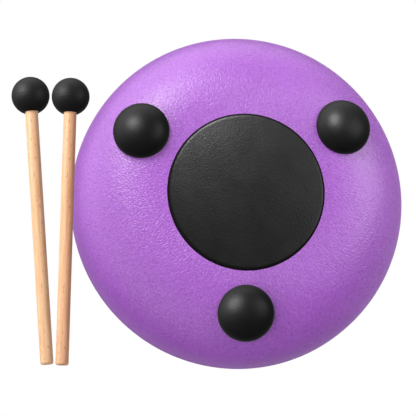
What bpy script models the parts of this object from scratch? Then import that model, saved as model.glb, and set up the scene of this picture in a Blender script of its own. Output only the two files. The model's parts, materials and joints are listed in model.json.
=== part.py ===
# Small steel tongue drum standing on its feet, with two mallets lying beside it.
# Metres, +Z up, drum axis on Z, feet and mallets on the plane z = 0.
import math

import bmesh
import bpy
from mathutils import Matrix, Vector

# Fits
GAP = 0.0003  # between pieces that touch
OVERCUT = 0.002  # how far a cutter runs past what it cuts

# Shells
DRUM_DIAMETER = 0.155
SHELL_THICKNESS = 0.0016
LOWER_DEPTH = 0.0334  # rim plane down to the flat of the base
UPPER_DEPTH = 0.037  # rim plane up to the crown
LOWER_FULLNESS = 2.4  # 2 is an ellipse, more is fuller
UPPER_FULLNESS = 2.3
WELD_LAND = 0.0005  # rim left flat inside the weld groove
SHELL_STEPS = 56
SIDE_STEPS = 11

# Tongues of the upper shell, the longest in front
TONGUE_COUNT = 8
TONGUE_ROOT = 0.021  # drum axis to the inner ends of the slots
TONGUE_WEB = 0.0032  # steel between the round ends of neighbouring slots
TONGUE_MARGIN = 0.0155  # tip of the longest tongue to the rim, in plan
TONGUE_SHORT = 0.027  # root to tip of the shortest tongue
TONGUE_WIDE = 0.0248  # tip width of the longest tongue
TONGUE_NARROW = 0.0192  # tip width of the shortest tongue
SLOT_WIDTH = 0.0016
RELIEF_DIAMETER = 0.0028  # round end of each slot
TIP_STEPS = 12
RELIEF_STEPS = 8

# Rubber disc in the middle of the base, taped over the access hole
DISC_DIAMETER = 0.0714
DISC_THICKNESS = 0.0024
DISC_EDGE = 0.0011  # rounding of its rim
DISC_CROWN = 0.0016  # its middle beyond its rim
DISC_LAP = 0.0107  # disc beyond the edge of the hole
FLAT_MARGIN = 0.0018  # flat of the base beyond the disc
TAPE_THICKNESS = 0.0005
TAPE_MARGIN = 0.0018  # tape back from the hole and from the disc's rim
DISC_STEPS = 40
CROWN_STEPS = 4

# Feet, each with a bonded stud, a washer and a nut inside the shell
FOOT_ANGLES = {"rear_right": 30.0, "rear_left": 145.5, "front": 270.0}
FOOT_INSET = 0.0029  # feet inside the middle between the base's flat and the rim
FOOT_DIAMETER = 0.0256
FOOT_HEIGHT = 0.0100
FOOT_FLAT = 0.0003  # depth of the flat that bears on the table
FOOT_WALL = 0.0048  # rubber round the bonded plate
PLATE_THICKNESS = 0.0014
STUD_DIAMETER = 0.004
STUD_END = 0.0012  # stud beyond the nut
WASHER_BAND = 0.0022  # width of the washer's ring
WASHER_THICKNESS = 0.0008
NUT_WALL = 0.0012  # bore to flat
NUT_HEIGHT = 0.0032
FOOT_STEPS = 32
DOME_STEPS = 8
STUD_STEPS = 20
HOLE_STEPS = 16

# Mallets
HEAD_DIAMETER = 0.017
STICK_DIAMETER = 0.0057
MALLET_REACH = 0.1206  # head centre to the end of the stick
STICK_EDGE = 0.0006  # rounding of the stick's ends
STICK_DEPTH = 0.0025  # stick beyond the head's centre
MOUTH_CHAMFER = 0.0004  # where the stick enters the head
INNER_OFFSET = 0.0017  # inner head centre beyond the drum's side
MALLET_FORWARD = 0.0419  # head centres forward of the drum axis
INNER_YAW = 1.2  # degrees
HEADS_GAP = 0.0009
TAILS_GAP = 0.0007
BALL_STEPS = 12
HEAD_STEPS = 24

# Colour, roughness and metallic value of each finish
FINISHES = {
    "purple_paint": ((0.42, 0.14, 0.62), 0.45, 0.0),
    "weld_paint": ((0.40, 0.13, 0.60), 0.45, 0.0),
    "disc_rubber": ((0.03, 0.03, 0.03), 0.7, 0.0),
    "tape": ((0.6, 0.58, 0.5), 0.8, 0.0),
    "foot_rubber": ((0.02, 0.02, 0.02), 0.45, 0.0),
    "zinc_steel": ((0.62, 0.63, 0.65), 0.35, 1.0),
    "beech": ((0.83, 0.62, 0.38), 0.55, 0.0),
    "head_rubber": ((0.015, 0.015, 0.016), 0.55, 0.0),
}

rim = DRUM_DIAMETER / 2
disc_radius = DISC_DIAMETER / 2
hole_radius = disc_radius - DISC_LAP
base_flat = disc_radius + FLAT_MARGIN
foot_radius = FOOT_DIAMETER / 2
foot_ring = (base_flat + rim) / 2 - FOOT_INSET
stud_radius = STUD_DIAMETER / 2
stud_hole = stud_radius + GAP
head_radius = HEAD_DIAMETER / 2
stick_radius = STICK_DIAMETER / 2


def lean(along, across, reach):
    # Angle at which along * sin + across * cos equals reach.
    return math.asin(reach / math.hypot(along, across)) - math.atan2(across, along)


def quarter(width, depth, fullness):
    # Quarter of a superellipse from (width, 0) to (0, depth).
    power = 2 / fullness
    points = []
    for step in range(SIDE_STEPS):
        turn = math.pi / 2 * step / SIDE_STEPS
        points.append((width * math.cos(turn) ** power, depth * math.sin(turn) ** power))
    return points + [(0, depth)]


def moved_out(profile, distance, first, last):
    # Each point of a profile moved along its outward normal; the end normals are given.
    normals = [Vector(first)]
    for before, after in zip(profile, profile[2:]):
        run = Vector(after) - Vector(before)
        normals.append(Vector((-run.y, run.x)).normalized())
    normals.append(Vector(last))
    return [tuple(Vector(point) + normal * distance) for point, normal in zip(profile, normals)]


def lower_side(radius):
    # Depth of the lower shell under the rim plane at a radius, and the angle of its slope there.
    width = rim - base_flat
    share = max((radius - base_flat) / width, 0)
    rest = 1 - share**LOWER_FULLNESS
    power = 1 / LOWER_FULLNESS
    slope = LOWER_DEPTH / width * share ** (LOWER_FULLNESS - 1) * rest ** (power - 1)
    return LOWER_DEPTH * rest**power, math.atan(slope)


def inner_drop(radius):
    # How far the inside of the lower shell lies behind a foot's seat plane, within a radius of it.
    seat_depth, tilt = lower_side(foot_ring)
    samples = 40
    drops = []
    for step in range(-samples, samples + 1):
        place = foot_ring + radius * step / samples
        depth, slope = lower_side(place)
        across = place - SHELL_THICKNESS * math.sin(slope) - foot_ring
        up = seat_depth - depth + SHELL_THICKNESS * math.cos(slope)
        drops.append(up * math.cos(tilt) - across * math.sin(tilt))
    return max(drops)


def finish(name):
    colour, roughness, metallic = FINISHES[name]
    material = bpy.data.materials.get(name) or bpy.data.materials.new(name)
    material.use_nodes = True
    shader = material.node_tree.nodes["Principled BSDF"]
    shader.inputs["Base Color"].default_value = (*colour, 1)
    shader.inputs["Roughness"].default_value = roughness
    shader.inputs["Metallic"].default_value = metallic
    return material


def add(name, mesh, parent, material):
    # A named piece, or a cutter where no material is given.
    piece = bpy.data.objects.new(name, mesh)
    piece.parent = parent
    if material:
        mesh.materials.append(finish(material))
        parts.objects.link(piece)
    else:
        piece.hide_render = True
        piece.display_type = "WIRE"
        cutters.objects.link(piece)
    return piece


def turned(name, profile, steps, parent=None, material=None, closed=False):
    # A profile of (radius, height), running down its outer side, turned about Z.
    edges = [(i, i + 1) for i in range(len(profile) - 1)]
    if closed:
        edges.append((len(profile) - 1, 0))
    mesh = bpy.data.meshes.new(name)
    mesh.from_pydata([(radius, 0, height) for radius, height in profile], edges, [])
    piece = add(name, mesh, parent, material)
    screw = piece.modifiers.new("turn", "SCREW")
    screw.axis = "Z"
    screw.steps = screw.render_steps = steps
    screw.use_merge_vertices = True
    screw.merge_threshold = 0.00001
    return piece


def rod(name, radius, low, high, steps, parent=None, material=None):
    # A cylinder, or a prism of few sides, along Z.
    middle = Matrix.Translation((0, 0, (low + high) / 2))
    build = bmesh.new()
    bmesh.ops.create_cone(
        build, cap_ends=True, segments=steps, radius1=radius, radius2=radius, depth=high - low, matrix=middle
    )
    mesh = bpy.data.meshes.new(name)
    build.to_mesh(mesh)
    build.free()
    return add(name, mesh, parent, material)


def stamp(name, outline, low, high, turn):
    # A cutter: a flat outline extruded from low to high and turned about Z.
    curve = bpy.data.curves.new(name, "CURVE")
    curve.dimensions = "2D"
    curve.fill_mode = "BOTH"
    curve.extrude = (high - low) / 2
    spline = curve.splines.new("POLY")
    spline.points.add(len(outline) - 1)
    for point, place in zip(spline.points, outline):
        point.co = (place[0], place[1], 0, 1)
    spline.use_cyclic_u = True
    drawn = bpy.data.objects.new(name, curve)
    cutters.objects.link(drawn)
    graph = bpy.context.evaluated_depsgraph_get()
    mesh = bpy.data.meshes.new_from_object(drawn.evaluated_get(graph))
    bpy.data.objects.remove(drawn, do_unlink=True)
    build = bmesh.new()
    build.from_mesh(mesh)
    bmesh.ops.remove_doubles(build, verts=build.verts, dist=0.00001)
    bmesh.ops.recalc_face_normals(build, faces=build.faces)
    build.to_mesh(mesh)
    build.free()
    cutter = add(name, mesh, None, None)
    cutter.location.z = (low + high) / 2
    cutter.rotation_euler.z = turn
    return cutter


def cut(piece, cutter):
    boolean = piece.modifiers.new(cutter.name, "BOOLEAN")
    boolean.operation = "DIFFERENCE"
    boolean.solver = "EXACT"
    boolean.object = cutter


def frame_at(name, place, axis):
    # An empty at a place, with its Z along an axis.
    empty = bpy.data.objects.new(name, None)
    empty.location = place
    empty.rotation_mode = "QUATERNION"
    empty.rotation_quaternion = Vector(axis).to_track_quat("Z", "Y")
    parts.objects.link(empty)
    return empty


def slot_outline(tip, tip_width):
    # One U-shaped slot in plan, along +X, with a round relief at each end.
    half_root = TONGUE_ROOT * math.sin(math.pi / TONGUE_COUNT) - (TONGUE_WEB + RELIEF_DIAMETER) / 2
    half_tip = tip_width / 2
    centre = tip - half_tip
    flare = lean(centre - TONGUE_ROOT, half_root, half_tip)
    path = [Vector((TONGUE_ROOT, half_root))]
    for step in range(TIP_STEPS + 1):
        angle = (math.pi / 2 + flare) * (1 - 2 * step / TIP_STEPS)
        path.append(Vector((centre + half_tip * math.cos(angle), half_tip * math.sin(angle))))
    path.append(Vector((TONGUE_ROOT, -half_root)))
    sides = []
    for before, after in zip(path[:1] + path, path[1:] + path[-1:]):
        run = after - before
        sides.append(Vector((-run.y, run.x)).normalized() * SLOT_WIDTH / 2)
    outer = [point + side for point, side in zip(path, sides)][1:-1]
    inner = [point - side for point, side in zip(path, sides)][-2:0:-1]
    return outer + relief(path[-1], sides[-1]) + inner + relief(path[0], -sides[0])


def relief(end, side):
    # The round end of a slot, from its edge at side to its other edge.
    mouth = math.asin(SLOT_WIDTH / max(RELIEF_DIAMETER, SLOT_WIDTH))
    start = math.atan2(side.y, side.x) + math.pi / 2 - mouth
    points = []
    for step in range(RELIEF_STEPS + 1):
        angle = start - 2 * (math.pi - mouth) * step / RELIEF_STEPS
        points.append(end + Vector((math.cos(angle), math.sin(angle))) * RELIEF_DIAMETER / 2)
    return points


def between(first, last, step, count):
    return first + (last - first) * step / (count - 1)


for old in list(bpy.data.objects):
    bpy.data.objects.remove(old, do_unlink=True)
parts = bpy.data.collections.new("steel_rain_drum")
cutters = bpy.data.collections.new("cutters")
for group in (parts, cutters):
    bpy.context.scene.collection.children.link(group)

# The rim's height follows from feet that bear on z = 0.
seat_depth, seat_tilt = lower_side(foot_ring)
foot_reach = math.hypot(FOOT_HEIGHT * math.cos(seat_tilt), foot_radius * math.sin(seat_tilt))
rim_z = seat_depth + foot_reach - FOOT_FLAT
base_z = rim_z - LOWER_DEPTH
groove = SHELL_THICKNESS - WELD_LAND

# Lower shell: a bowl with a welding chamfer at its rim and an access hole in its base.
bowl_side = quarter(rim - base_flat, LOWER_DEPTH, LOWER_FULLNESS)
outside = [(base_flat + across, rim_z - down) for across, down in bowl_side] + [(hole_radius, base_z)]
inside = moved_out(outside, -SHELL_THICKNESS, (1, 0), (0, -1))
low_rim = rim_z - GAP / 2
bowl = [(rim - groove, low_rim), (rim, low_rim - groove)]
bowl += [point for point in outside if point[1] < low_rim - groove - GAP]
bowl += [point for point in inside[::-1] if point[1] < low_rim - GAP]
bowl += [(rim - SHELL_THICKNESS, low_rim)]
lower_shell = turned("lower_shell", bowl, SHELL_STEPS, None, "purple_paint", closed=True)
jacket_side = moved_out(outside, GAP, (1, 0), (0, -1))
jacket = turned("shell_jacket", [(0, rim_z)] + jacket_side + [(0, base_z - GAP)], SHELL_STEPS)

# Upper shell: a dome with the tongues cut through it, longest in front and then left and right by turns.
dome = [(across, rim_z + up) for across, up in quarter(rim, UPPER_DEPTH, UPPER_FULLNESS)][::-1]
under = moved_out(dome, -SHELL_THICKNESS, (0, 1), (1, 0))
high_rim = rim_z + GAP / 2
cap = [point for point in dome if point[1] > high_rim + groove + GAP]
cap += [(rim, high_rim + groove), (rim - groove, high_rim), (rim - SHELL_THICKNESS, high_rim)]
cap += [point for point in under[::-1] if point[1] > high_rim + GAP]
upper_shell = turned("upper_shell", cap, SHELL_STEPS, None, "purple_paint")
for rank in range(TONGUE_COUNT):
    place = (rank + 1) // 2 * (1 if rank % 2 else -1)
    turn = 2 * math.pi * place / TONGUE_COUNT - math.pi / 2
    tip = between(rim - TONGUE_MARGIN, TONGUE_ROOT + TONGUE_SHORT, rank, TONGUE_COUNT)
    outline = slot_outline(tip, between(TONGUE_WIDE, TONGUE_NARROW, rank, TONGUE_COUNT))
    slot = stamp(f"slot_{rank + 1}", outline, high_rim + groove, rim_z + UPPER_DEPTH + OVERCUT, turn)
    cut(upper_shell, slot)

# Weld bead in the groove between the two rims, ground flush.
bead = groove + GAP / 2 - GAP * math.sqrt(2)
weld = [(rim, rim_z + bead), (rim, rim_z - bead), (rim - bead, rim_z)]
turned("rim_weld", weld, SHELL_STEPS, None, "weld_paint", closed=True)

# Rubber disc, slightly domed, with a recess for its ring of tape.
disc_top = base_z - GAP
disc_low = disc_top - DISC_THICKNESS
tape_low = disc_top - TAPE_THICKNESS
tape_in = hole_radius + TAPE_MARGIN
tape_out = disc_radius - TAPE_MARGIN
recess = tape_low - GAP
disc = [(0, disc_top), (tape_in - GAP, disc_top), (tape_in - GAP, recess), (tape_out + GAP, recess)]
disc += [(tape_out + GAP, disc_top), (disc_radius, disc_top)]
for step in range(5):
    turn = math.pi / 2 * step / 4
    round_in = DISC_EDGE * (1 - math.cos(turn))
    disc.append((disc_radius - round_in, disc_low + DISC_EDGE * (1 - math.sin(turn))))
for step in range(CROWN_STEPS - 1, -1, -1):
    share = step / CROWN_STEPS
    disc.append(((disc_radius - DISC_EDGE) * share, disc_low - DISC_CROWN * (1 - share**2)))
turned("base_disc", disc, DISC_STEPS, None, "disc_rubber")
tape = [(tape_out, disc_top), (tape_out, tape_low), (tape_in, tape_low), (tape_in, disc_top)]
turned("disc_tape", tape, DISC_STEPS, None, "tape", closed=True)

# Table that flattens the feet.
block = bmesh.new()
bmesh.ops.create_cube(block, size=DRUM_DIAMETER, matrix=Matrix.Translation((0, 0, -rim)))
table_mesh = bpy.data.meshes.new("table")
block.to_mesh(table_mesh)
block.free()
table = add("table", table_mesh, None, None)

# Feet, in frames on the lower shell that point out of it.
plate_radius = foot_radius - FOOT_WALL
washer_radius = stud_hole + WASHER_BAND
drop = inner_drop(washer_radius)
plate_low = 2 * GAP
plate_top = plate_low + PLATE_THICKNESS
washer_top = -drop - GAP
washer_low = washer_top - WASHER_THICKNESS
nut_top = washer_low - GAP
nut_low = nut_top - NUT_HEIGHT
stud_low = nut_low - STUD_END
foot_shape = []
for step in range(DOME_STEPS + 1):
    turn = math.pi / 2 * step / DOME_STEPS
    foot_shape.append((foot_radius * math.sin(turn), FOOT_HEIGHT * math.cos(turn)))
foot_shape += [(foot_radius, -foot_radius), (0, -foot_radius)]
stud_shape = [(0, plate_top), (plate_radius, plate_top), (plate_radius, plate_low)]
stud_shape += [(stud_radius, plate_low), (stud_radius, stud_low), (0, stud_low)]
washer_shape = [(washer_radius, washer_top), (washer_radius, washer_low)]
washer_shape += [(stud_hole, washer_low), (stud_hole, washer_top)]
nut_corner = (stud_hole + NUT_WALL) * 2 / math.sqrt(3)
for name, degrees in FOOT_ANGLES.items():
    angle = math.radians(degrees)
    spoke = Vector((math.cos(angle), math.sin(angle), 0))
    seat = spoke * foot_ring + Vector((0, 0, rim_z - seat_depth))
    out = spoke * math.sin(seat_tilt) - Vector((0, 0, math.cos(seat_tilt)))
    frame = frame_at(f"{name}_foot_frame", seat, out)
    foot = turned(f"{name}_foot", foot_shape, FOOT_STEPS, frame, "foot_rubber")
    pocket = rod(f"{name}_pocket", plate_radius + GAP, -foot_radius, plate_top + GAP, FOOT_STEPS, frame)
    for cutter in (jacket, table, pocket):
        cut(foot, cutter)
    turned(f"{name}_foot_stud", stud_shape, STUD_STEPS, frame, "zinc_steel")
    cut(lower_shell, rod(f"{name}_stud_hole", stud_hole, washer_low, OVERCUT, HOLE_STEPS, frame))
    turned(f"{name}_foot_washer", washer_shape, STUD_STEPS, frame, "zinc_steel", closed=True)
    nut = rod(f"{name}_foot_nut", nut_corner, nut_low, nut_top, 6, frame, "zinc_steel")
    cut(nut, rod(f"{name}_nut_bore", stud_hole, nut_low - OVERCUT, nut_top + OVERCUT, HOLE_STEPS, frame))

# Mallets lying on the table, in frames at their head centres that point away from the sticks.
dip = lean(MALLET_REACH - STICK_EDGE, stick_radius, head_radius)
heads_apart = HEAD_DIAMETER + HEADS_GAP
tails_apart = STICK_DIAMETER + TAILS_GAP
inner_yaw = math.radians(INNER_YAW)
toe_in = (heads_apart - tails_apart) / (MALLET_REACH * math.cos(dip))
outer_yaw = -math.asin(toe_in - math.sin(inner_yaw))
stick_end = -MALLET_REACH
stick_shape = [(0, STICK_DEPTH), (stick_radius - STICK_EDGE, STICK_DEPTH)]
stick_shape += [(stick_radius, STICK_DEPTH - STICK_EDGE), (stick_radius, stick_end + STICK_EDGE)]
stick_shape += [(stick_radius - STICK_EDGE, stick_end), (0, stick_end)]
bore = stick_radius + GAP
mouth = math.acos((bore + MOUTH_CHAMFER) / head_radius)
ball_shape = [(0, head_radius)]
for step in range(1, BALL_STEPS + 1):
    turn = math.pi / 2 - (math.pi / 2 + mouth) * step / BALL_STEPS
    ball_shape.append((head_radius * math.cos(turn), head_radius * math.sin(turn)))
ball_shape += [(bore, ball_shape[-1][1] + MOUTH_CHAMFER), (bore, STICK_DEPTH + GAP), (0, STICK_DEPTH + GAP)]
for name, spread, yaw in (("inner", 0, inner_yaw), ("outer", heads_apart, outer_yaw)):
    ahead = Vector((-math.sin(yaw) * math.cos(dip), math.cos(yaw) * math.cos(dip), math.sin(dip)))
    head_place = (rim + INNER_OFFSET + spread, MALLET_FORWARD, head_radius)
    frame = frame_at(f"{name}_mallet_frame", head_place, ahead)
    turned(f"{name}_mallet_stick", stick_shape, STUD_STEPS, frame, "beech")
    turned(f"{name}_mallet_head", ball_shape, HEAD_STEPS, frame, "head_rubber")
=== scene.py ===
import json
import math
import bmesh
import bpy
from mathutils import Matrix, Vector


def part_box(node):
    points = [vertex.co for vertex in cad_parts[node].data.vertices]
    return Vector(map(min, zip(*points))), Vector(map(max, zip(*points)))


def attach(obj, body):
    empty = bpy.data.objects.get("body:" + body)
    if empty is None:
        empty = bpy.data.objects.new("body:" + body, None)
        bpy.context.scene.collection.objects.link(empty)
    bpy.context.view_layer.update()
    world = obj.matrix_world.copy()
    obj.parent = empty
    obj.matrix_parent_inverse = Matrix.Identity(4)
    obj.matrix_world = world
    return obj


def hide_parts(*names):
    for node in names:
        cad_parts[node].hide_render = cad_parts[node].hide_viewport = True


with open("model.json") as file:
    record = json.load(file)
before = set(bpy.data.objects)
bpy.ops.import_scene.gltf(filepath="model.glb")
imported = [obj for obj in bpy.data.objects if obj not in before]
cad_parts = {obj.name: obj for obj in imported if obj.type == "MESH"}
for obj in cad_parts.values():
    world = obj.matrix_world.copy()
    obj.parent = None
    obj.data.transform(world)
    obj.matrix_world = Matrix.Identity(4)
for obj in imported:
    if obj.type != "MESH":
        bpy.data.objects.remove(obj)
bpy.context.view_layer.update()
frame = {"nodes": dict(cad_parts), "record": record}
print("frame loaded:", len(frame["nodes"]), "nodes")


class Wire:  # one socket of a node tree; arithmetic on it adds Math nodes
    def __init__(self, tree, socket=None):
        self.tree = tree
        self.socket = socket

    def node(self, kind, settings=None, sockets=None, out=0):
        made = self.tree.nodes.new(kind)
        for key, value in (settings or {}).items():
            setattr(made, key, value)
        for key, value in (sockets or {}).items():
            for each in value if isinstance(value, list) else [value]:
                if isinstance(each, Wire):
                    self.tree.links.new(each.socket, made.inputs[key])
                else:
                    made.inputs[key].default_value = each
        return Wire(self.tree, made.outputs[out])

    def also(self, out):  # another output of the same node
        return Wire(self.tree, self.socket.node.outputs[out])

    def maths(self, operation, *others):
        return self.node("ShaderNodeMath", {"operation": operation}, dict(enumerate((self, *others))))

    def flipped(self, operation, first):
        return self.node("ShaderNodeMath", {"operation": operation}, {0: first, 1: self})

    def __add__(self, other):
        return self.maths("ADD", other)

    def __sub__(self, other):
        return self.maths("SUBTRACT", other)

    def __mul__(self, other):
        return self.maths("MULTIPLY", other)

    def __truediv__(self, other):
        return self.maths("DIVIDE", other)

    def __pow__(self, other):
        return self.maths("POWER", other)

    def __gt__(self, other):
        return self.maths("GREATER_THAN", other)

    def __lt__(self, other):
        return self.maths("LESS_THAN", other)

    def __rsub__(self, other):
        return self.flipped("SUBTRACT", other)

    def __rtruediv__(self, other):
        return self.flipped("DIVIDE", other)

    __radd__ = __add__
    __rmul__ = __mul__

    def ramp(self, low, high):  # smooth step from 0 at low to 1 at high
        sockets = {"Value": self, "From Min": low, "From Max": high}
        return self.node("ShaderNodeMapRange", {"interpolation_type": "SMOOTHSTEP"}, sockets)

    def vector(self, operation, *others):
        return self.node("ShaderNodeVectorMath", {"operation": operation}, dict(enumerate((self, *others))))

    def scaled(self, factor):
        return self.node("ShaderNodeVectorMath", {"operation": "SCALE"}, {0: self, "Scale": factor})

    def split(self):
        parts = self.node("ShaderNodeSeparateXYZ", {}, {"Vector": self})
        return parts, parts.also("Y"), parts.also("Z")

    def joined(self, x, y, z):
        return self.node("ShaderNodeCombineXYZ", {}, {"X": x, "Y": y, "Z": z})

    def noise(self, scale, detail=2.0, roughness=0.5, distortion=0.0):
        sockets = {"Vector": self, "Scale": scale, "Detail": detail}
        sockets |= {"Roughness": roughness, "Distortion": distortion}
        return self.node("ShaderNodeTexNoise", {}, sockets)

    def cells(self, scale):
        return self.node("ShaderNodeTexVoronoi", {"feature": "SMOOTH_F1"}, {"Vector": self, "Scale": scale})

    def named(self, name, out):  # a mesh attribute, in a material
        return self.node("ShaderNodeAttribute", {"attribute_name": name}, {}, out)

    def tint(self, dark, pale):  # colour from dark at 0 to pale at 1
        return self.node("ShaderNodeMix", {"data_type": "RGBA"}, {0: self, 6: dark, 7: pale}, 2)


def startTree(name, sizes):  # geometry tree with one named input for each size
    tree = bpy.data.node_groups.new(name, "GeometryNodeTree")
    tree.interface.new_socket("Geometry", in_out="OUTPUT", socket_type="NodeSocketGeometry")
    tree.interface.new_socket("Geometry", in_out="INPUT", socket_type="NodeSocketGeometry")
    for label, kind in sizes.items():
        tree.interface.new_socket(label, in_out="INPUT", socket_type="NodeSocket" + kind)
    entry = tree.nodes.new("NodeGroupInput")
    return Wire(tree), {socket.name: Wire(tree, socket) for socket in entry.outputs if socket.name}


def endTree(geometry, finish):
    whole = geometry.node("GeometryNodeRealizeInstances", {}, {"Geometry": geometry})
    painted = whole.node("GeometryNodeSetMaterial", {}, {"Geometry": whole, "Material": finish})
    leave = geometry.tree.nodes.new("NodeGroupOutput")
    geometry.tree.links.new(painted.socket, leave.inputs["Geometry"])
    return geometry.tree


def runTree(piece, tree, values):
    modifier = piece.modifiers.new(tree.name, "NODES")
    modifier.node_group = tree
    for socket in tree.interface.items_tree:
        if socket.in_out == "INPUT" and socket.name in values:
            modifier[socket.identifier] = values[socket.name]


def newPiece(name, mesh=None):
    piece = bpy.data.objects.new(name, mesh or bpy.data.meshes.new(name))
    bpy.context.scene.collection.objects.link(piece)
    return piece


meshing = {"weld": 1e-6, "sharpAngle": math.radians(40)}


def tidyMesh(mesh):  # welded, facing out, smooth but for real corners
    build = bmesh.new()
    build.from_mesh(mesh)
    bmesh.ops.remove_doubles(build, verts=build.verts, dist=meshing["weld"])
    bmesh.ops.dissolve_degenerate(build, edges=build.edges, dist=meshing["weld"])
    bmesh.ops.recalc_face_normals(build, faces=build.faces)
    build.to_mesh(mesh)
    build.free()
    mesh.shade_smooth()
    mesh.set_sharp_from_angle(angle=meshing["sharpAngle"])


def settle(piece):  # what the trees make, as a plain mesh
    graph = bpy.context.evaluated_depsgraph_get()
    made = piece.evaluated_get(graph)
    mesh = bpy.data.meshes.new_from_object(made, preserve_all_data_layers=True, depsgraph=graph)
    piece.modifiers.clear()
    piece.data = mesh
    tidyMesh(mesh)
    return piece


def turnedMesh(name, profile, steps):  # (radius, height) points turned about Z
    build = bmesh.new()
    points = [build.verts.new((radius, 0, height)) for radius, height in profile]
    edges = [build.edges.new(pair) for pair in zip(points, points[1:])]
    bmesh.ops.spin(build, geom=points + edges, axis=(0, 0, 1), angle=math.tau, steps=steps)
    mesh = bpy.data.meshes.new(name)
    build.to_mesh(mesh)
    build.free()
    tidyMesh(mesh)
    return mesh


def arc(centre, radius, first, last, steps):  # points of a circle, angles in degrees
    angles = [math.radians(first + (last - first) * step / steps) for step in range(steps + 1)]
    return [(centre[0] + radius * math.cos(a), centre[1] + radius * math.sin(a)) for a in angles]


def dress(piece, finish, body, node):
    piece.data.materials.clear()
    piece.data.materials.append(finish)
    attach(piece, body)
    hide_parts(node)
    return piece


def newFinish(name, roughness, **fixed):  # material, its shader and its object coordinates
    material = bpy.data.materials.new(name)
    material.use_nodes = True
    shader = material.node_tree.nodes["Principled BSDF"]
    shader.inputs["Roughness"].default_value = roughness
    for socket, value in fixed.items():
        shader.inputs[socket.replace("_", " ")].default_value = value
    start = Wire(material.node_tree)
    return material, shader, start.node("ShaderNodeTexCoord", {}, {}, "Object")


def feed(shader, **wires):
    for socket, wire in wires.items():
        wire.tree.links.new(wire.socket, shader.inputs[socket.replace("_", " ")])


def bump(height, strength, distance):
    return height.node("ShaderNodeBump", {}, {"Height": height, "Strength": strength, "Distance": distance})


def mixShown(material, share, shader, other):  # the material shows the other shader where share is 1
    mixed = {0: share, 1: Wire(share.tree, shader.outputs[0]), 2: other}
    shown = share.node("ShaderNodeMixShader", {}, mixed)
    feed(material.node_tree.nodes["Material Output"], Surface=shown)


lowerLow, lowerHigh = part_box("lower_shell")  # places that the frame gives
upperLow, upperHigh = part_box("upper_shell")
discLow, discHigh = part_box("base_disc")
rimRadius = lowerHigh.x
rimHeight = (lowerHigh.z + upperLow.z) / 2

paint = {
    # painted shade in the grain's valleys and painted highlight on its crests, partly the paint's own tone
    "shadedValley": (0.285, 0.070, 0.44, 1),
    "litCrest": (0.47, 0.130, 0.71, 1),
    "roughness": 0.28,
    "shine": 1.0,
    "coat": 0.5,
    "coatRoughness": 0.38,
    "grainRadius": 0.055,  # radius at which the grain is as wide as it is long
    "grainStretch": 0.6,  # less than 1 draws the grain out along the spokes
    "middle": (0.012, 0.03),  # radii between which the grain turns to the spokes
    "grainScale": 1600,
    "wrinkleScale": 950,
    "pebbles": 0.55,
    "wrinkles": 0.6,
    "grainDepth": 0.00040,
    "grainTone": 0.9,
    "mottleScale": 45,
    "mottleTone": 0.2,
    "valleyTone": 0.1,
    "crestTone": 0.8,
    "smoothRim": 0.020,  # height over which the grain fades towards the rim
    "grainDull": 0.2,  # roughness that the grain's height adds
    "rimDull": 0.1,
    "grainGloss": 0.18,
}


def purplePaint():
    gloss = {"Specular_IOR_Level": paint["shine"], "Coat_Roughness": paint["coatRoughness"]}
    material, shader, place = newFinish("purplePaint", paint["roughness"], **gloss)
    x, y, z = place.split()
    flat = place.joined(x, y, 0)
    radius = flat.vector("LENGTH").also("Value")
    fromRim = (z - rimHeight).maths("ABSOLUTE")
    along = (radius - fromRim) * paint["grainStretch"]
    spoke = flat.vector("NORMALIZE").scaled(paint["grainRadius"])
    around = spoke.vector("ADD", place.joined(0, 0, along))
    heights = []
    for field in (place, around):
        pebbles = field.cells(paint["grainScale"])
        wrinkles = field.noise(paint["wrinkleScale"], detail=4, roughness=0.62, distortion=0.5)
        heights.append(wrinkles * paint["wrinkles"] + pebbles * paint["pebbles"])
    radial = radius.ramp(*paint["middle"])
    height = heights[0] * (1 - radial) + heights[1] * radial
    grained = fromRim.ramp(0, paint["smoothRim"])
    mottle = (place.noise(paint["mottleScale"], detail=3) - 0.5) * paint["mottleTone"]
    # painted shade and highlight: the grain's valleys take a darker colour and its crests a lighter one,
    # partly the paint's own tone
    tone = (height * paint["grainTone"] - paint["valleyTone"] + mottle).ramp(0, paint["crestTone"])
    feed(shader, Base_Color=tone.tint(paint["shadedValley"], paint["litCrest"]))
    dull = height * paint["grainDull"] + (paint["roughness"] + paint["rimDull"])
    feed(shader, Roughness=dull - grained * paint["grainGloss"])
    feed(shader, Coat_Weight=grained * paint["coat"])
    feed(shader, Normal=bump(height * grained, strength=1.0, distance=paint["grainDepth"]))
    return material


rubber = {
    "disc": {
        "dark": 0.0015,
        "pale": 0.004,
        "roughness": 0.37,
        "scale": 1500,
        "depth": 0.00017,
        "shine": 0.75,
        "shadeBandRadii": (discHigh.x - 0.0017, discHigh.x - 0.0005),  # radii of the painted shade line at the edge
        # colour of the painted shade line at the edge
        "rim": 0.008,
    },
    "foot": {
        "dark": 0.002,
        "pale": 0.004,
        "roughness": 0.45,
        "scale": 1500,
        "depth": 0.00011,
        "shine": 0.35,
    },
    "head": {
        "dark": 0.002,
        "pale": 0.004,
        "roughness": 0.53,
        "scale": 1700,
        "depth": 0.0001,
        "shine": 0.42,
        "marks": 1.2,
        "marksScale": 1100,
        "marksStretch": (0.06, 0.06, 1),
        "parting": 0.4,
        "partingHeight": -0.0007,
        "partingWidth": (0.0001, 0.0004),
    },
}
rubberGrain = {
    "pebbles": 0.6,
    "fine": 0.6,
    "fineScale": 0.6,  # times the pebbles' scale
    "bump": 0.5,
    "dustScale": 120,
    "dustDull": 0.12,
    "grainTone": 0.6,
    "dustTone": 0.5,
    "darkTone": 0.1,
}


def grey(level):
    return (level, level, level, 1)


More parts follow.
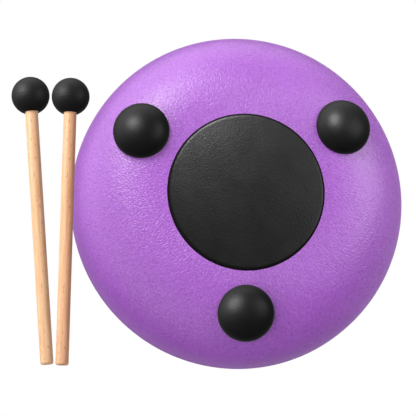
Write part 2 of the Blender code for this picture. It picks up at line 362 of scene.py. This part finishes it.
def blackRubber(kind):
    look = rubber[kind]
    material, shader, place = newFinish(kind + "Rubber", look["roughness"], Specular_IOR_Level=look["shine"])
    fine = place.noise(look["scale"] * rubberGrain["fineScale"], detail=4, roughness=0.6)
    grain = place.cells(look["scale"]) * rubberGrain["pebbles"] + fine * rubberGrain["fine"]
    if kind == "head":  # turning marks and a parting line around the ball
        local = place.named("turned", "Vector")
        marks = local.vector("MULTIPLY", look["marksStretch"]).noise(look["marksScale"], detail=3)
        fromParting = (local.split()[2] - look["partingHeight"]).maths("ABSOLUTE")
        parting = fromParting.ramp(*look["partingWidth"])
        grain = grain + marks * look["marks"] + parting * look["parting"]
    dust = place.noise(rubberGrain["dustScale"], detail=3)
    tone = grain * rubberGrain["grainTone"] + dust * rubberGrain["dustTone"] - rubberGrain["darkTone"]
    feed(shader, Base_Color=tone.ramp(0, 1).tint(grey(look["dark"]), grey(look["pale"])))
    evenDull = look["roughness"] - rubberGrain["dustDull"] / 2
    feed(shader, Roughness=dust * rubberGrain["dustDull"] + evenDull)
    feed(shader, Normal=bump(grain, strength=rubberGrain["bump"], distance=look["depth"]))
    if kind == "disc":  # painted shade: a matt black band at the outer edge draws a dark line where the disc meets the paint
        x, y, _ = place.split()
        rim = place.joined(x, y, 0).vector("LENGTH").also("Value").ramp(*look["shadeBandRadii"])
        matt = {"Base Color": grey(look["rim"]), "Roughness": 1.0, "Specular IOR Level": 0.0}
        dull = place.node("ShaderNodeBsdfPrincipled", {}, matt)
        mixShown(material, rim, shader, dull)
    return material


wood = {
    "dark": (0.607, 0.313, 0.147, 1),
    "pale": (0.81, 0.522, 0.32, 1),
    "fleck": (0.46, 0.19, 0.08, 1),
    # tint of the redder wood and of the painted bounce light from the drum
    "ruddy": (0.88, 0.66, 0.66, 1),
    "shine": 0.35,
    "roughness": 0.58,
    "fibreGloss": 0.14,
    "fibreScale": 1300,
    "fibreStretch": (1, 1, 0.05),
    "bandScale": 380,
    "bandStretch": (1, 1, 0.02),
    "fleckScale": 1200,
    "fleckStretch": (1, 1, 0.35),
    "fleckFrom": (0.62, 0.70),
    "fleckStrength": 0.5,
    "fibreTone": 0.9,
    "bandTone": 0.5,
    "darkTone": 0.2,
    "toneRange": (0.15, 0.85),
    "bump": 0.4,
    "depth": 0.00008,
}


def beechWood():
    material, shader, place = newFinish("beechWood", wood["roughness"], Specular_IOR_Level=wood["shine"])
    local = place.named("turned", "Vector")
    fibres = local.vector("MULTIPLY", wood["fibreStretch"]).noise(wood["fibreScale"], detail=4, roughness=0.6)
    bands = local.vector("MULTIPLY", wood["bandStretch"]).noise(wood["bandScale"])
    tone = (fibres * wood["fibreTone"] + bands * wood["bandTone"] - wood["darkTone"]).ramp(*wood["toneRange"])
    spots = local.vector("MULTIPLY", wood["fleckStretch"]).noise(wood["fleckScale"], detail=1)
    flecks = spots.ramp(*wood["fleckFrom"]) * wood["fleckStrength"]
    base = flecks.tint(tone.tint(wood["dark"], wood["pale"]), wood["fleck"])
    # painted bounce light: the tint is strongest on the side towards the drum
    reddened = place.named("ruddy", "Fac").tint(grey(1), wood["ruddy"])
    feed(shader, Base_Color=base.vector("MULTIPLY", reddened))
    feed(shader, Roughness=wood["roughness"] - fibres * wood["fibreGloss"])
    feed(shader, Normal=bump(fibres - flecks, strength=wood["bump"], distance=wood["depth"]))
    return material


zinc = {
    "dull": (0.5, 0.51, 0.53, 1),
    "bright": (0.72, 0.73, 0.74, 1),
    "roughness": 0.22,
    "streakDull": 0.25,
    "streakScale": 420,
    "streakStretch": (1, 1, 6),
}


def zincPlate():
    material, shader, place = newFinish("zincPlate", zinc["roughness"], Metallic=1.0)
    streaks = place.vector("MULTIPLY", zinc["streakStretch"]).noise(zinc["streakScale"], detail=3)
    feed(shader, Base_Color=streaks.tint(zinc["dull"], zinc["bright"]))
    feed(shader, Roughness=streaks * zinc["streakDull"] + zinc["roughness"])
    return material


tape = {
    "dark": (0.5, 0.47, 0.38, 1),
    "pale": (0.72, 0.69, 0.6, 1),
    "roughness": 0.8,
    "fibreScale": 1600,
    "bump": 0.3,
    "depth": 0.00005,
}


def paperTape():
    material, shader, place = newFinish("paperTape", tape["roughness"])
    fibres = place.noise(tape["fibreScale"], detail=4, roughness=0.7)
    feed(shader, Base_Color=fibres.tint(tape["dark"], tape["pale"]))
    feed(shader, Normal=bump(fibres, strength=tape["bump"], distance=tape["depth"]))
    return material


shells = {
    "wall": 0.0016,
    "seamGap": 0.0003,
    "flatMargin": 0.0018,  # flat of the base beyond the disc
    "lowerFullness": 2.4,  # 2 is an ellipse, more is fuller
    "upperFullness": 2.3,
    "holeRadius": 0.025,
    "unevenness": 0.00012,
    "dentScale": 38,
    "around": 192,
    "sideRows": 60,
    "flatRows": 6,
}


def pressedShellTree():
    sizes = dict.fromkeys(["Rim Radius", "Flat Radius", "Hole Radius", "Depth", "Direction"], "Float")
    sizes |= dict.fromkeys(["Fullness", "Wall", "Rim Height", "Seam Gap", "Unevenness"], "Float")
    sizes |= dict.fromkeys(["Flat Rows", "Side Rows", "Closing Rows", "Around"], "Int")
    start, size = startTree("pressedShell", sizes | {"Finish": "Material"})
    last = size["Flat Rows"] + size["Side Rows"]
    rows = last * 2 + 2 + size["Closing Rows"]
    counts = {"Size X": 1.0, "Size Y": 1.0, "Vertices X": rows, "Vertices Y": size["Around"] + 1}
    sheet = start.node("GeometryNodeMeshGrid", {}, counts)
    across, up, _ = start.node("GeometryNodeInputPosition").split()
    row = ((across + 0.5) * (rows - 1)).maths("ROUND")
    turn = (up + 0.5) * math.tau
    walls = row < last * 2 + 1.5  # the rows after them close the ring
    inner = (row > last + 0.5) * walls
    step = inner * (last * 2 + 1 - row) + (1 - inner) * walls * row
    flatShare = (step / size["Flat Rows"]).maths("MINIMUM", 1)
    swing = ((step - size["Flat Rows"]) / size["Side Rows"]).maths("MAXIMUM", 0) * (math.pi / 2)
    sine = swing.maths("SINE").maths("MAXIMUM", 0)
    cosine = swing.maths("COSINE").maths("MAXIMUM", 0)
    power = 2 / size["Fullness"]
    width = size["Rim Radius"] - size["Flat Radius"]
    flat = size["Hole Radius"] + (size["Flat Radius"] - size["Hole Radius"]) * flatShare
    radius = flat + width * sine**power
    drop = size["Depth"] * cosine**power
    leanOut = sine ** (2 - power) / width
    leanDown = cosine ** (2 - power) / size["Depth"]
    slant = (leanOut * leanOut + leanDown * leanDown).maths("SQRT")
    east = turn.maths("COSINE")
    north = turn.maths("SINE")
    dents = start.joined(radius * east, radius * north, drop).noise(shells["dentScale"], detail=1)
    shift = (dents - 0.5) * size["Unevenness"] * (swing * 2).maths("SINE") - size["Wall"] * inner
    radius = radius + shift * leanOut / slant
    drop = drop + shift * leanDown / slant
    groove = (radius - (size["Rim Radius"] - size["Wall"])).maths("MAXIMUM", 0)
    drop = drop.maths("MAXIMUM", size["Seam Gap"] / 2 + groove)
    height = size["Rim Height"] + size["Direction"] * drop
    place = start.joined(radius * east, radius * north, height)
    bent = start.node("GeometryNodeSetPosition", {}, {"Geometry": sheet, "Position": place})
    welded = start.node("GeometryNodeMergeByDistance", {}, {"Geometry": bent, "Distance": meshing["weld"]})
    return endTree(welded, size["Finish"])


tongues = {
    "count": 8,
    "root": 0.021,
    "web": 0.0032,
    "rimMargin": 0.0155,
    "shortLength": 0.027,
    "widest": 0.0248,
    "narrowest": 0.0192,
    "slot": 0.0016,
    "relief": 0.0028,
    "tipPoints": 40,
    "drillSides": 24,
    "cutAboveRim": 0.004,
    "overcut": 0.002,
}


def tongueSlotTree():
    sizes = dict.fromkeys(["Count", "Tip Points"], "Int")
    sizes |= dict.fromkeys(["Root", "Web", "Longest Tip", "Shortest Tip", "Widest", "Narrowest"], "Float")
    sizes |= dict.fromkeys(["Slot", "Relief", "Cut From", "Cut To"], "Float")
    start, size = startTree("tongueSlots", sizes | {"Finish": "Material"})
    points = size["Tip Points"] + 2
    index = start.node("GeometryNodeInputIndex")
    strand = start.node("GeometryNodeMeshLine", {}, {"Count": points})
    beads = {"Geometry": strand, "Name": "bead", "Value": index}
    marked = start.node("GeometryNodeStoreNamedAttribute", {}, beads)
    seeds = start.node("GeometryNodePoints", {}, {"Count": size["Count"]})
    copies = start.node("GeometryNodeInstanceOnPoints", {}, {"Points": seeds, "Instance": marked})
    ranks = {"Geometry": copies, "Name": "rank", "Value": index}
    ranked = start.node("GeometryNodeStoreNamedAttribute", {"domain": "INSTANCE"}, ranks)
    strands = start.node("GeometryNodeRealizeInstances", {}, {"Geometry": ranked})
    bead = start.node("GeometryNodeInputNamedAttribute", {}, {"Name": "bead"})
    rank = start.node("GeometryNodeInputNamedAttribute", {}, {"Name": "rank"})
    share = rank / (size["Count"] - 1)
    tip = size["Longest Tip"] + (size["Shortest Tip"] - size["Longest Tip"]) * share
    halfTip = (size["Widest"] + (size["Narrowest"] - size["Widest"]) * share) / 2
    halfRoot = size["Root"] * (math.pi / size["Count"]).maths("SINE") - (size["Web"] + size["Relief"]) / 2
    centre = tip - halfTip
    length = centre - size["Root"]
    slope = (halfTip / (length * length + halfRoot * halfRoot).maths("SQRT")).maths("ARCSINE")
    flare = slope - halfRoot.maths("ARCTAN2", length)
    angle = (flare + math.pi / 2) * (1 - (bead - 1) / (size["Tip Points"] - 1) * 2)
    first = bead < 0.5
    ends = first + (bead > points - 1.5)
    along = size["Root"] * ends + (centre + halfTip * angle.maths("COSINE")) * (1 - ends)
    aside = halfRoot * (first * 2 - 1) * ends + halfTip * angle.maths("SINE") * (1 - ends)
    odd = rank.maths("MODULO", 2)
    place = ((rank + 1) / 2).maths("FLOOR") * (odd * 2 - 1)
    turn = place / size["Count"] * math.tau - math.pi / 2
    east = turn.maths("COSINE")
    north = turn.maths("SINE")
    middle = (size["Cut From"] + size["Cut To"]) / 2
    tall = size["Cut To"] - size["Cut From"]
    spot = start.joined(along * east - aside * north, along * north + aside * east, middle)
    drawn = start.node("GeometryNodeSetPosition", {}, {"Geometry": strands, "Position": spot})
    path = start.node("GeometryNodeMeshToCurve", {}, {"Mesh": drawn})
    upright = start.node("GeometryNodeSetCurveNormal", {"mode": "Z_UP"}, {"Curve": path})
    bladeSize = {"Width": size["Slot"], "Height": tall}
    blade = start.node("GeometryNodeCurvePrimitiveQuadrilateral", {"mode": "RECTANGLE"}, bladeSize)
    sweep = {"Curve": upright, "Profile Curve": blade, "Fill Caps": True}
    saw = start.node("GeometryNodeCurveToMesh", {}, sweep)
    drillSize = {"Vertices": tongues["drillSides"], "Radius": size["Relief"] / 2, "Depth": tall}
    drill = start.node("GeometryNodeMeshCylinder", {}, drillSize)
    tips = start.node("GeometryNodeCurveEndpointSelection")
    atTips = {"Points": upright, "Selection": tips, "Instance": drill}
    drills = start.node("GeometryNodeInstanceOnPoints", {}, atTips)
    drilled = start.node("GeometryNodeRealizeInstances", {}, {"Geometry": drills})
    way = {"operation": "DIFFERENCE", "solver": "EXACT"}
    cut = start.node("GeometryNodeMeshBoolean", way, {"Mesh 1": size["Geometry"], "Mesh 2": [saw, drilled]})
    return endTree(cut, size["Finish"])


def makeShells(finish):
    tree = pressedShellTree()
    shared = {
        "Rim Radius": rimRadius,
        "Wall": shells["wall"],
        "Rim Height": rimHeight,
        "Seam Gap": shells["seamGap"],
        "Unevenness": shells["unevenness"],
        "Around": shells["around"],
        "Side Rows": shells["sideRows"],
        "Finish": finish,
    }
    lower = newPiece("lowerShell")
    bowl = {"Flat Radius": discHigh.x + shells["flatMargin"], "Hole Radius": shells["holeRadius"]}
    bowl |= {"Depth": rimHeight - lowerLow.z, "Direction": -1.0, "Fullness": shells["lowerFullness"]}
    bowl |= {"Flat Rows": shells["flatRows"], "Closing Rows": 1}
    runTree(lower, tree, shared | bowl)
    upper = newPiece("upperShell")
    dome = {"Flat Radius": 0.0, "Hole Radius": 0.0, "Depth": upperHigh.z - rimHeight, "Direction": 1.0}
    dome |= {"Fullness": shells["upperFullness"], "Flat Rows": 0, "Closing Rows": 0}
    runTree(upper, tree, shared | dome)
    cuts = {"Count": tongues["count"], "Tip Points": tongues["tipPoints"], "Root": tongues["root"]}
    cuts |= {"Web": tongues["web"], "Longest Tip": rimRadius - tongues["rimMargin"]}
    cuts |= {"Shortest Tip": tongues["root"] + tongues["shortLength"], "Widest": tongues["widest"]}
    cuts |= {"Narrowest": tongues["narrowest"], "Slot": tongues["slot"], "Relief": tongues["relief"]}
    cuts |= {"Cut From": rimHeight + tongues["cutAboveRim"], "Cut To": upperHigh.z + tongues["overcut"]}
    cuts |= {"Finish": finish}
    settle(upper)
    runTree(upper, tongueSlotTree(), cuts)
    for piece, node in ((lower, "lower_shell"), (upper, "upper_shell")):
        settle(piece)
        dress(piece, finish, "drum", node)
    return lower, upper


paintFinish = purplePaint()
lowerShell, upperShell = makeShells(paintFinish)
print("shells pressed and slotted")

weld = {
    "proud": 0.00012,
    "height": 0.0015,
    "inset": 0.0001,
    "neck": 0.2,  # share of the half height
    "swing": 40,
    "steps": 6,
    "around": 192,
}


def makeWeld(finish):
    half = weld["height"] / 2
    root = rimRadius - half
    edge = rimRadius - weld["inset"]
    neck = half * weld["neck"]
    profile = [(root, rimHeight + neck), (edge, rimHeight + half)]
    profile += arc((root, rimHeight), half + weld["proud"], weld["swing"], -weld["swing"], weld["steps"])
    profile += [(edge, rimHeight - half), (root, rimHeight - neck), profile[0]]
    piece = newPiece("rimWeld", turnedMesh("rimWeld", profile, weld["around"]))
    return dress(piece, finish, "drum", "rim_weld")


rimWeld = makeWeld(paintFinish)

disc = {
    "edge": 0.0018,
    "edgeSteps": 8,
    "crown": 0.0016,
    "rows": 16,
    "around": 160,
    "recess": 0.0008,
    "tapeIn": 0.0265,
    "tapeOut": 0.0342,
}


def makeDisc():
    radius, top, low = discHigh.x, discHigh.z, discLow.z + disc["crown"]
    face = radius - disc["edge"]
    profile = [(0, top), (disc["tapeIn"], top), (disc["tapeIn"], top - disc["recess"])]
    profile += [(disc["tapeOut"], top - disc["recess"]), (disc["tapeOut"], top), (radius, top)]
    profile += arc((face, low + disc["edge"]), disc["edge"], 0, -90, disc["edgeSteps"])
    shares = [1 - step / disc["rows"] for step in range(1, disc["rows"] + 1)]
    profile += [(face * share, low - disc["crown"] * (1 - share**2)) for share in shares]
    piece = newPiece("baseDisc", turnedMesh("baseDisc", profile, disc["around"]))
    return dress(piece, blackRubber("disc"), "drum", "base_disc")


baseDisc = makeDisc()

feet = {
    "angles": {"front": 270.0, "rearLeft": 145.5, "rearRight": 30.0},
    "nodes": {"front": "front_foot", "rearLeft": "rear_left_foot", "rearRight": "rear_right_foot"},
    "ring": 0.0546,
    "tilt": 15.4,
    "radius": 0.0128,
    "pocketRadius": 0.0083,
    "pocketDepth": 0.0023,
    "skirt": 0.001,
    "lip": 0.0003,
    "lipLift": 0.0004,  # the rounded lip stays off the paint
    "contact": 0.00005,
    "nearLip": 0.0001,
    "rows": 24,
    "around": 64,
    "rayFrom": 0.02,
    "rayLength": 0.05,
}


def footMesh(height):
    radius, seat = feet["radius"], -feet["skirt"]
    profile = []
    for step in range(feet["rows"] + 1):
        swing = math.pi / 2 * step / feet["rows"]
        profile.append((radius * math.sin(swing), height * math.cos(swing)))
    profile += [(radius, seat), (radius - feet["lip"], seat), (feet["pocketRadius"], seat)]
    profile += [(feet["pocketRadius"], feet["pocketDepth"]), (0, feet["pocketDepth"])]
    mesh = turnedMesh("footShape", profile, feet["around"])
    lift = mesh.attributes.new("lift", "FLOAT", "POINT")
    for vertex, value in zip(mesh.vertices, lift.data):
        onLip = vertex.co.xy.length > radius - feet["nearLip"]
        gap = feet["lipLift"] if onLip else feet["contact"]
        value.value = gap if vertex.co.z < seat / 2 else 0
    return mesh


def seatedFeetTree():
    sizes = {"Foot": "Object", "Shell": "Object", "Tilt": "Float", "Finish": "Material"}
    start, size = startTree("seatedFeet", sizes)
    x, y, _ = start.node("GeometryNodeInputPosition").split()
    spoke = start.joined(x, y, 0).vector("NORMALIZE")
    sx, sy, _ = spoke.split()
    lean = size["Tilt"].maths("SINE")
    outward = start.joined(sx * lean, sy * lean, size["Tilt"].maths("COSINE") * -1)
    vectors = {"data_type": "FLOAT_VECTOR"}
    kept = {"Geometry": size["Geometry"], "Name": "outward", "Value": outward}
    aimed = start.node("GeometryNodeStoreNamedAttribute", vectors, kept)
    way = start.node("GeometryNodeInputNamedAttribute", vectors, {"Name": "outward"})
    turned = start.node("FunctionNodeAlignRotationToVector", {"axis": "Z"}, {"Vector": way})
    foot = start.node("GeometryNodeObjectInfo", {}, {"Object": size["Foot"]}, "Geometry")
    placed = {"Points": aimed, "Instance": foot, "Rotation": turned}
    copies = start.node("GeometryNodeInstanceOnPoints", {}, placed)
    whole = start.node("GeometryNodeRealizeInstances", {}, {"Geometry": copies})
    shell = start.node("GeometryNodeObjectInfo", {}, {"Object": size["Shell"]}, "Geometry")
    lift = start.node("GeometryNodeInputNamedAttribute", {}, {"Name": "lift"})
    place = start.node("GeometryNodeInputPosition")
    ray = {"Target Geometry": shell, "Source Position": place.vector("ADD", way.scaled(feet["rayFrom"]))}
    ray |= {"Ray Direction": way.scaled(-1), "Ray Length": feet["rayLength"]}
    hit = start.node("GeometryNodeRaycast", {}, ray, "Hit Position")
    onShell = hit.vector("ADD", way.scaled(lift))
    moved = {"Geometry": whole, "Selection": lift > 0, "Position": onShell}
    seated = start.node("GeometryNodeSetPosition", {}, moved)
    return endTree(seated, size["Finish"])


def makeFeet():
    finish = blackRubber("foot")
    flatRadius = discHigh.x + shells["flatMargin"]
    fullness = shells["lowerFullness"]
    share = (feet["ring"] - flatRadius) / (rimRadius - flatRadius)
    seatHeight = rimHeight - (rimHeight - lowerLow.z) * (1 - share**fullness) ** (1 / fullness)
    tilt = math.radians(feet["tilt"])
    overhang = feet["radius"] * math.sin(tilt)
    reach = math.sqrt(seatHeight**2 - overhang**2) / math.cos(tilt)  # just touches the floor
    shape = newPiece("footShape", footMesh(reach))
    values = {"Foot": shape, "Shell": lowerShell, "Tilt": tilt, "Finish": finish}
    tree = seatedFeetTree()
    made = {}
    for name, angle in feet["angles"].items():
        turn = math.radians(angle)
        mesh = bpy.data.meshes.new(name + "Foot")
        spot = (feet["ring"] * math.cos(turn), feet["ring"] * math.sin(turn), seatHeight)
        mesh.from_pydata([spot], [], [])
        made[name] = newPiece(mesh.name, mesh)
        runTree(made[name], tree, values)
        settle(made[name])
        dress(made[name], finish, "drum", feet["nodes"][name])
    bpy.data.objects.remove(shape)
    return made


rubberFeet = makeFeet()
print("weld, disc and feet made")

mallet = {
    "headRadius": 0.0085,
    "stickRadius": 0.00285,
    "reach": 0.1206,
    "edge": 0.0009,
    "depth": 0.0025,
    "fit": 0.0003,
    "chamfer": 0.0004,
    "stickRows": (0.1, 0.3, 0.5, 0.7, 0.9),  # shares of the reach
    "edgeSteps": 5,
    "ballSteps": 60,
    "stickAround": 40,
    "headAround": 72,
    "ruddy": {"outer": 0.0, "inner": 0.8},  # how red each stick is, partly redder wood and partly painted bounce light from the purple drum
}


def malletPlace(name):  # frame at the head's centre, its Z away from the stick
    headLow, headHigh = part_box(name + "_mallet_head")
    stickLow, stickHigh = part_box(name + "_mallet_stick")
    centre = Vector(((headLow.x + headHigh.x) / 2, headHigh.y - mallet["headRadius"], mallet["headRadius"]))
    tailX = stickLow.x if centre.x > (stickLow.x + stickHigh.x) / 2 else stickHigh.x
    side = mallet["stickRadius"] if tailX == stickLow.x else -mallet["stickRadius"]
    tail = Vector((tailX + side, stickLow.y, mallet["stickRadius"]))
    turn = (centre - tail).to_track_quat("Z", "Y").to_matrix().to_4x4()
    return Matrix.Translation(centre) @ turn


def makeMallet(name, finishes):
    end, radius, edge = -mallet["reach"], mallet["stickRadius"], mallet["edge"]
    profile = [(0, mallet["depth"]), (radius, mallet["depth"])]
    profile += [(radius, end * share) for share in mallet["stickRows"]]
    profile += arc((radius - edge, end + edge), edge, 0, -90, mallet["edgeSteps"]) + [(0, end)]
    stick = turnedMesh(name + "Stick", profile, mallet["stickAround"])
    bore = radius + mallet["fit"]
    mouth = math.degrees(math.acos((bore + mallet["chamfer"]) / mallet["headRadius"]))
    ball = arc((0, 0), mallet["headRadius"], 90, -mouth, mallet["ballSteps"])
    ball[0] = (0, mallet["headRadius"])  # exactly on the axis
    deepest = mallet["depth"] + mallet["fit"]
    ball += [(bore, ball[-1][1] + mallet["chamfer"]), (bore, deepest), (0, deepest)]
    head = turnedMesh(name + "Head", ball, mallet["headAround"])
    place = malletPlace(name)
    drumward = place.to_3x3().inverted() @ Vector((-1, 0, 0))
    # painted bounce light: each stick turns redder and darker on its side towards the drum
    ruddy = stick.attributes.new("ruddy", "FLOAT", "POINT")
    for vertex, value in zip(stick.vertices, ruddy.data):
        value.value = mallet["ruddy"][name] * (0.5 + 0.5 * vertex.co.xy.dot(drumward.xy) / radius)
    made = []
    for mesh, slot, node in ((stick, "beech", "_mallet_stick"), (head, "head_rubber", "_mallet_head")):
        local = mesh.attributes.new("turned", "FLOAT_VECTOR", "POINT")
        for vertex, value in zip(mesh.vertices, local.data):
            value.vector = vertex.co
        mesh.transform(place)
        made.append(dress(newPiece(mesh.name, mesh), finishes[slot], name + "_mallet", name + node))
    return made


malletFinishes = {"beech": beechWood(), "head_rubber": blackRubber("head")}
mallets = [piece for which in mallet["ruddy"] for piece in makeMallet(which, malletFinishes)]
print("mallets made")

insideFinishes = {"zinc_steel": zincPlate(), "tape": paperTape()}  # inside pieces keep their CAD shapes
for part in frame["record"]["subparts"]:
    if part["material_slot"] in insideFinishes:
        inside = frame["nodes"][part["node"]].data
        inside.materials.clear()
        inside.materials.append(insideFinishes[part["material_slot"]])

studio = {
    "cameraPlace": (0.1022, -0.1213, -0.7428),
    "cameraTarget": (0.0159, -0.0058, 0.0200),
    "lens": 147.6,
    "floorRadius": 3.0,
    "floorSides": 64,
    "floorRoughness": 0.9,
    "floorDrop": 0.0001,
    "floorColour": (0.86, 0.86, 0.86, 1),
    "floorShade": (0.30, 0.29, 0.31, 1),
    "shadeReach": 0.06,
    "floorGlow": 0.12,  # painted light: the floor's own glow near the object, shaded like its colour
    "floorFade": (0.2, 0.7),  # radii between which the floor turns into the white background
    "below": {"towards": (0.883, -0.321, -0.342), "from": 0.0, "dim": 0.18, "bright": 1.70},
    "above": {"towards": (-0.4545, 0.4545, 0.766), "from": -0.2, "dim": 0.10, "bright": 2.50},
    "mirrored": {"towards": (0.60, 0.80, 0.00), "from": 0.0, "dim": 0.06, "bright": 1.52},
    "mirrorBand": (0.2, 0.75),  # the mirrored light fades over these heights
    "mirrorBehind": 0.20,  # what the turned-away rim mirrors
    "behindBand": (0.55, 0.95),
    "horizon": (-0.12, 0.04),  # heights over which the light from below turns into that from above
}
steel = [lowerShell, upperShell, rimWeld]
rubberPieces = [baseDisc, *rubberFeet.values()]
for piece in steel:
    piece.visible_glossy = False  # the rubber shows no purple
for piece in (baseDisc, *mallets):
    piece.visible_diffuse = piece.visible_glossy = False  # the paint beside them stays bright
lamps = {
    "steelKey": {"on": steel, "from": (0.168, 0.222, -0.265), "size": 0.18, "power": 0.65},
    "discKey": {"on": [baseDisc], "from": (0.09, 0.262, -0.28), "size": 0.18, "power": 1.42},
    "frontKey": {"on": [rubberFeet["front"]], "from": (0.30, 0.14, -0.34), "size": 0.36, "power": 3.3},
    "leftKey": {"on": [rubberFeet["rearRight"]], "from": (0.28, 0.24, -0.31), "size": 0.20, "power": 1.85},
    "rightKey": {"on": [rubberFeet["rearLeft"]], "from": (0.12, 0.26, -0.38), "size": 0.20, "power": 3.2},
    "steelFill": {"on": steel, "from": (-0.42, 0.19, -0.40), "size": 0.50, "power": 1.5},
    "rubberFill": {"on": [*rubberPieces, *mallets], "from": (-0.46, 0.09, -0.39), "size": 0.50, "power": 1.0},
    "rimGlow": {"on": steel, "from": (-0.47, -0.06, 0.14), "size": 0.40, "power": 0.35, "shines": False},
    "malletKey": {"on": mallets, "from": (0.42, 0.24, -0.30), "size": 0.26, "power": 2.2},
}
shadows = {"drum": [*steel, *rubberFeet.values()], "mallets": mallets}  # what stops the lamps' light


def makeCamera():
    camera = bpy.data.objects.new("photoCamera", bpy.data.cameras.new("photoCamera"))
    bpy.context.scene.collection.objects.link(camera)
    bpy.context.scene.camera = camera
    camera.data.lens = studio["lens"]
    place = Vector(studio["cameraPlace"])
    ahead = (Vector(studio["cameraTarget"]) - place).normalized()
    right = ahead.cross(Vector((0, 1, 0))).normalized()  # the picture's top is along +Y
    axes = Matrix((right, right.cross(ahead), -ahead)).transposed()
    camera.matrix_world = Matrix.Translation(place) @ axes.to_4x4()


def gathered(name, pieces):
    collection = bpy.data.collections.new(name)
    for piece in pieces:
        collection.objects.link(piece)
    return collection


def makeLamps():
    centre = Vector((0, 0, rimHeight))
    blockers = {name: gathered(name + "Shadows", pieces) for name, pieces in shadows.items()}
    for name, lamp in lamps.items():
        light = bpy.data.lights.new(name, "AREA")
        light.shape = "DISK"
        light.size = lamp["size"]
        light.energy = lamp["power"]
        holder = bpy.data.objects.new(name, light)
        bpy.context.scene.collection.objects.link(holder)
        holder.light_linking.receiver_collection = gathered(name + "Lit", lamp["on"])
        holder.light_linking.blocker_collection = blockers["mallets" if lamp["on"] is mallets else "drum"]
        holder.location = centre + Vector(lamp["from"])
        holder.rotation_euler = (-Vector(lamp["from"])).to_track_quat("-Z", "Y").to_euler()
        holder.visible_glossy = lamp.get("shines", True)


def makeWorld():
    world = bpy.data.worlds.new("studio")
    bpy.context.scene.world = world
    world.use_nodes = True
    sky = world.node_tree.nodes["Background"]
    rays = Wire(world.node_tree).node("ShaderNodeLightPath", {}, {}, "Is Camera Ray")
    clear = rays.maths("MAXIMUM", rays.also("Is Transmission Ray"))
    glossy = rays.also("Is Glossy Ray") * (1 - clear)
    way = rays.node("ShaderNodeTexCoord", {}, {}, "Object").vector("NORMALIZE")
    glow = {}
    for part in ("below", "above", "mirrored"):
        light = studio[part]
        facing = way.vector("DOT_PRODUCT", light["towards"]).also("Value").ramp(light["from"], 1)
        glow[part] = facing * (light["bright"] - light["dim"]) + light["dim"]
    level = way.split()[2]
    height = level.ramp(*studio["horizon"])
    soft = glow["above"] * height + glow["below"] * (1 - height)
    fade = level.maths("ABSOLUTE").ramp(*studio["mirrorBand"])
    shine = glow["mirrored"] * (1 - fade) + fade * studio["mirrored"]["dim"]
    shine = shine + level.ramp(*studio["behindBand"]) * studio["mirrorBehind"]
    feed(sky, Strength=clear + glossy * shine + (1 - clear - glossy) * soft)
    sky.inputs["Color"].default_value = grey(1)


def makeFloor():
    build = bmesh.new()
    bmesh.ops.create_circle(build, cap_ends=True, segments=studio["floorSides"], radius=studio["floorRadius"])
    mesh = bpy.data.meshes.new("floor")
    build.to_mesh(mesh)
    build.free()
    mesh.transform(Matrix.Translation((0, 0, -studio["floorDrop"])))
    floor = newPiece("floor", mesh)
    fixed = {"Emission_Strength": 1.0, "Specular_IOR_Level": 0.0}
    material, shader, place = newFinish("paleFloor", studio["floorRoughness"], **fixed)
    # painted shade: ambient occlusion darkens the floor's colour and glow near the object
    openness = place.node("ShaderNodeAmbientOcclusion", {}, {"Distance": studio["shadeReach"]}, "AO")
    near = openness.tint(studio["floorShade"], studio["floorColour"])
    far = place.vector("LENGTH").also("Value").ramp(*studio["floorFade"])
    feed(shader, Base_Color=far.tint(near, grey(0)))
    feed(shader, Emission_Color=far.tint(near.scaled(studio["floorGlow"]), grey(1)))
    under = place.node("ShaderNodeNewGeometry", {}, {}, "Backfacing")
    clear = place.node("ShaderNodeBsdfTransparent")
    mixShown(material, under, shader, clear)
    mesh.materials.append(material)
    floor.visible_diffuse = floor.visible_glossy = False  # seen from above only, and hides no lamp below
    floor.visible_transmission = floor.visible_shadow = False


makeCamera()
makeLamps()
makeWorld()
makeFloor()
bpy.context.scene.view_settings.view_transform = "Standard"
print("studio lit")
